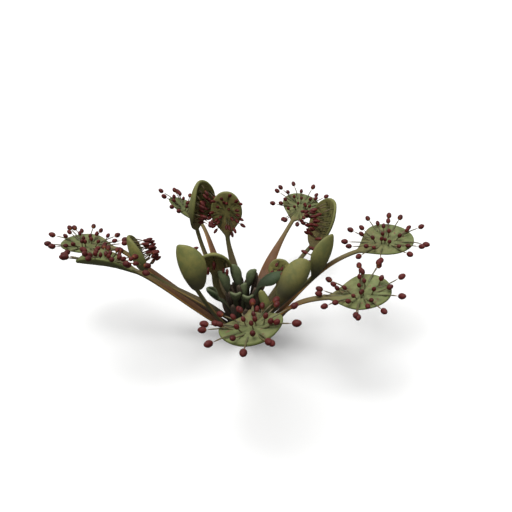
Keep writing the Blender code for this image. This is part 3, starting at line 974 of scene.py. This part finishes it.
def setRoughness(tree, shader, mask, low, high):
    spread = addNode(tree, "ShaderNodeMapRange", Value=mask, To_Min=low, To_Max=high)
    plug(tree, shader.inputs["Roughness"], spread.outputs["Result"])


def setBump(tree, shader, height, strength, depth):
    bump = addNode(tree, "ShaderNodeBump", Strength=strength, Distance=depth, Height=height)
    plug(tree, shader.inputs["Normal"], bump.outputs["Normal"])


# what all leaves share; places along a leaf run from 0 to 1 on the stalk and from 1 to 2 on the blade
leafFinish = {
    "streaks": 1.2,
    "skinStrength": 0.4,
    "broadScale": 140.0,
    "broadShare": 0.14,
    "warmSpan": (1.7, 1.1),
    "warmShare": 0.55,
    "creaseShadePower": 1.7,
    "shadeSpan": (1.72, 1.02),
    "topSpan": (0.42, 0.58),
    "rimSpan": (0.35, 1.0),
    "rimShare": 0.85,
    "bladeSpan": (0.96, 1.16),
    "smoothBy": 0.07,
    "roughBy": 0.12,
    "specular": 0.22,
}


def makeLeafMaterial(kind, groups):
    colours, finish = leafColours[kind], leafFinish
    material, tree, shader = newMaterial(kind + "Leaf")
    mottle = placeGroup(tree, groups["mottle"], Spot_Limit=colours["blushLimit"])
    broad = placeGroup(tree, groups["mottle"], Patch_Scale=finish["broadScale"])
    skin = placeGroup(tree, groups["skin"], Streaks=finish["streaks"], Strength=finish["skinStrength"])
    masks = ("along", "upper", "creaseShade", "rim", "paintedShade")
    along, upper, creaseShade, rim, paintedShade = (attribute(tree, name) for name in masks)
    patches = mottle.outputs["Patches"]
    warm = colours.get("warm", colours["neck"])
    top = mixColour(tree, patches, colours["top"], colours["topPale"])
    top = mixColour(tree, mottle.outputs["Spots"], top, colours["blush"])
    top = tint(tree, broad.outputs["Patches"], finish["broadShare"], top, colours["blush"])
    top = tint(tree, between(tree, along, *finish["warmSpan"]), finish["warmShare"], top, warm)
    # painted shade: the top darkens in the creases and in the pleats' low parts
    top = mixColour(tree, maths(tree, "POWER", creaseShade, finish["creaseShadePower"]), top, colours["creaseShade"])
    under = mixColour(tree, patches, colours["under"], colours["underPale"])
    under = mixColour(tree, between(tree, along, *finish["shadeSpan"]), under, colours["shade"])
    blade = mixColour(tree, between(tree, upper, *finish["topSpan"]), under, top)
    # painted shade over the whole blade, by each leaf's own share
    blade = mixColour(tree, paintedShade, blade, colours["shade"])
    nearRim = between(tree, rim, *finish["rimSpan"])
    blade = tint(tree, nearRim, finish["rimShare"], blade, colours["rim"])
    stalk = placeGroup(
        tree, groups["stalk"], Foot=colours["foot"], Strap=colours["strap"], Edge=colours["edge"],
        Under=colours["underStalk"], Neck=colours["neck"], Streak=skin.outputs["Streak Mask"])
    onBlade = between(tree, along, *finish["bladeSpan"])
    colour = mixColour(tree, onBlade, stalk.outputs["Colour"], blade)
    plug(tree, shader.inputs["Base Color"], colour)
    rough = colours["roughness"]
    setRoughness(tree, shader, patches, rough - finish["smoothBy"], rough + finish["roughBy"])
    plug(tree, shader.inputs["Normal"], skin.outputs["Normal"])
    plug(tree, shader.inputs["Specular IOR Level"], finish["specular"])
    return material


glandLook = {
    "body": (0.106, 0.012, 0.0105),
    "dark": (0.055, 0.0065, 0.006),
    # neck is painted light: the orange of a gland's base as if light shone through it from behind
    "neck": (0.25, 0.08, 0.028),
    "bloom": (0.145, 0.024, 0.018),
    "bloomShare": 0.5,
    "neckSpan": (0.8, 1.0),
    "roughness": (0.38, 0.6),
    "bump": (0.4, 0.00012),
    "specular": 0.26,
}


def makeGlandMaterial(groups):
    look = glandLook
    material, tree, shader = newMaterial("gland")
    mottle = placeGroup(tree, groups["mottle"], Patch_Scale=1500.0, Spot_Scale=2600.0, Spot_Limit=0.6)
    patches = mottle.outputs["Patches"]
    colour = mixColour(tree, attribute(tree, "tone"), look["body"], look["dark"])
    colour = tint(tree, patches, look["bloomShare"], colour, look["bloom"])
    # painted light: the gland turns orange towards its neck, as if lit through from behind
    neckGlow = between(tree, attribute(tree, "neck"), *look["neckSpan"])
    plug(tree, shader.inputs["Base Color"], mixColour(tree, neckGlow, colour, look["neck"]))
    setRoughness(tree, shader, patches, *look["roughness"])
    setBump(tree, shader, patches, *look["bump"])
    plug(tree, shader.inputs["Specular IOR Level"], look["specular"])
    return material


tentacleFinish = {
    "middleSpan": (0.1, 0.6),
    "tipSpan": (0.6, 1.0),
    "rootShare": 0.35,
    "roughness": (0.4, 0.6),
}
# from root to tip
tentacleColours = {
    "open": ((0.105, 0.112, 0.046), (0.135, 0.116, 0.052), (0.165, 0.1, 0.045)),
    "cup": ((0.08, 0.085, 0.03), (0.11, 0.09, 0.04), (0.15, 0.06, 0.035)),
}


def makeTentacleMaterial(kind, groups):
    (root, middle, end), finish = tentacleColours[kind], tentacleFinish
    material, tree, shader = newMaterial(kind + "Tentacle")
    tip = attribute(tree, "tip")
    patches = placeGroup(tree, groups["mottle"], Patch_Scale=900.0).outputs["Patches"]
    colour = mixColour(tree, between(tree, tip, *finish["middleSpan"]), root, middle)
    colour = mixColour(tree, between(tree, tip, *finish["tipSpan"]), colour, end)
    colour = tint(tree, patches, finish["rootShare"], colour, root)
    plug(tree, shader.inputs["Base Color"], colour)
    setRoughness(tree, shader, patches, *finish["roughness"])
    return material


crownLook = {
    "bark": (0.075, 0.05, 0.036),
    "pale": (0.15, 0.1, 0.062),
    "cut": (0.26, 0.2, 0.12),
    "cutSpan": (0.00012, 0.00002),  # heights in metres between which bark gives way to the cut base
    "roughness": (0.65, 0.9),
    "bump": (0.5, 0.0002),
}


def makeCrownMaterial(groups):
    look = crownLook
    material, tree, shader = newMaterial("crownBark")
    mottle = placeGroup(tree, groups["mottle"], Patch_Scale=700.0, Spot_Scale=1400.0, Spot_Limit=0.58)
    patches = mottle.outputs["Patches"]
    where = addNode(tree, "ShaderNodeTexCoord").outputs["Object"]
    height = addNode(tree, "ShaderNodeSeparateXYZ", Vector=where).outputs["Z"]
    rings = addNode(
        tree, "ShaderNodeTexWave", wave_type="RINGS", rings_direction="Z", Vector=where,
        Scale=420.0, Distortion=3.0, Detail=2.0)
    bark = mixColour(tree, patches, look["bark"], look["pale"])
    cut = mixColour(tree, rings.outputs["Fac"], look["cut"], look["pale"])
    onCut = between(tree, height, *look["cutSpan"])
    plug(tree, shader.inputs["Base Color"], mixColour(tree, onCut, bark, cut))
    setRoughness(tree, shader, patches, *look["roughness"])
    setBump(tree, shader, patches, *look["bump"])
    return material


groups = {"mottle": makeMottleGroup(), "skin": makeSkinGroup(), "stalk": makeStalkGroup()}
leafMaterials = {kind: makeLeafMaterial(kind, groups) for kind in leafColours}
tentacleMaterials = {kind: makeTentacleMaterial(kind, groups) for kind in tentacleColours}
glandMaterial = makeGlandMaterial(groups)
print("materials made")


def dress(piece, material, slotName, node):
    piece.data.materials.append(material)
    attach(piece, "root")
    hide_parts(node)


slotNames = {"open": "open_leaf", "cup": "cupped_leaf", "young": "young_leaf", "tealShaded": "young_leaf"}
tentacleCount = 0
for number, (name, leaf) in enumerate(leaves.items()):
    course, kind = leafCourse(leaf), leafKind(name)
    skin = leaf.get("skin", kind)
    spots = allSpots(name, leaf, course)
    body = makeLeafBody(name, leaf, course, spots, number)
    dress(body, leafMaterials[skin], slotNames[skin], name)
    if spots:
        stalks, glands = makeTentacles(name, leaf, course, spots, number)
        dress(stalks, tentacleMaterials[kind], slotNames[kind], name)
        dress(glands, glandMaterial, "gland", name)
        tentacleCount += len(spots)
print("leaves made:", len(leaves), "with", tentacleCount, "tentacles")

dress(makeCrown(), makeCrownMaterial(groups), "crown", "crown")
for number, sheath in enumerate(sheathLeaves()):
    name = "young_sheath%02d" % number
    body = makeLeafBody(name, sheath, leafCourse(sheath), [], number, sheaths["detail"])
    dress(body, leafMaterials["sheath"], "young_leaf", "crown")
print("crown made")


studio = {
    "floorSize": 4.0,
    "floorColour": (0.93, 0.93, 0.925),
    "floorGrain": 1.02,
    "floorRoughness": 0.9,
    "worldColour": (1.0, 1.0, 1.0),
    "skySpan": (-0.3, 0.4),
    "skyStrength": 0.5,
    "lowStrength": 0.1,
    "backdrop": 0.95,  # how bright the sky looks behind the floor
    "keyStrength": 2.6,
    "keySpread": 46,
    "keyFrom": (-0.12, -0.1, 0.53),
}


def makeFloor():
    bm = bmesh.new()
    bmesh.ops.create_grid(bm, x_segments=4, y_segments=4, size=studio["floorSize"])
    floor = addPiece(bm, "floor")
    material, tree, shader = newMaterial("floorPaper")
    where = addNode(tree, "ShaderNodeTexCoord").outputs["Object"]
    grain = addNode(tree, "ShaderNodeTexNoise", Vector=where, Scale=40.0, Detail=2.0)
    pale = studio["floorColour"]
    paler = tuple(value * studio["floorGrain"] for value in pale)
    plug(tree, shader.inputs["Base Color"], mixColour(tree, grain.outputs["Fac"], pale, paler))
    plug(tree, shader.inputs["Roughness"], studio["floorRoughness"])
    floor.data.materials.append(material)
    # its bounce would flatten the plant's shading
    floor.visible_diffuse = floor.visible_glossy = False


def makeLight():
    world = bpy.data.worlds.new("studio")
    world.use_nodes = True
    bpy.context.scene.world = world
    tree = world.node_tree
    background = tree.nodes["Background"]
    where = addNode(tree, "ShaderNodeTexCoord").outputs["Generated"]
    low, high = studio["skySpan"]
    strength = addNode(
        tree, "ShaderNodeMapRange", interpolation_type="SMOOTHSTEP",
        Value=addNode(tree, "ShaderNodeSeparateXYZ", Vector=where).outputs["Z"],
        From_Min=low, From_Max=high, To_Min=studio["lowStrength"], To_Max=studio["skyStrength"])
    seen = addNode(tree, "ShaderNodeLightPath").outputs["Is Camera Ray"]
    shown = addNode(tree, "ShaderNodeMix", data_type="FLOAT")
    for index, value in ((0, seen), (2, strength.outputs["Result"]), (3, studio["backdrop"])):
        plug(tree, shown.inputs[index], value)
    plug(tree, background.inputs["Color"], studio["worldColour"])
    plug(tree, background.inputs["Strength"], shown.outputs[0])
    data = bpy.data.lights.new("key", "SUN")
    data.energy, data.angle = studio["keyStrength"], math.radians(studio["keySpread"])
    key = bpy.data.objects.new("key", data)
    key.location = studio["keyFrom"]
    key.rotation_euler = Vector(studio["keyFrom"]).to_track_quat("Z", "Y").to_euler()
    bpy.context.scene.collection.objects.link(key)


cameraView = {
    "place": (0.0023, -0.10595, 0.07774),
    "tilt": 62,
    "lens": 35,
    "sensor": 32,
    "nearest": 0.001,
}


def makeCamera():
    data = bpy.data.cameras.new("camera")
    data.lens, data.sensor_width = cameraView["lens"], cameraView["sensor"]
    data.clip_start = cameraView["nearest"]
    camera = bpy.data.objects.new("camera", data)
    camera.location = cameraView["place"]
    camera.rotation_euler = (math.radians(cameraView["tilt"]), 0, 0)
    bpy.context.scene.collection.objects.link(camera)
    bpy.context.scene.camera = camera


makeFloor()
makeLight()
makeCamera()
bpy.context.scene.view_settings.view_transform = "Standard"
print("stage, light and camera made")
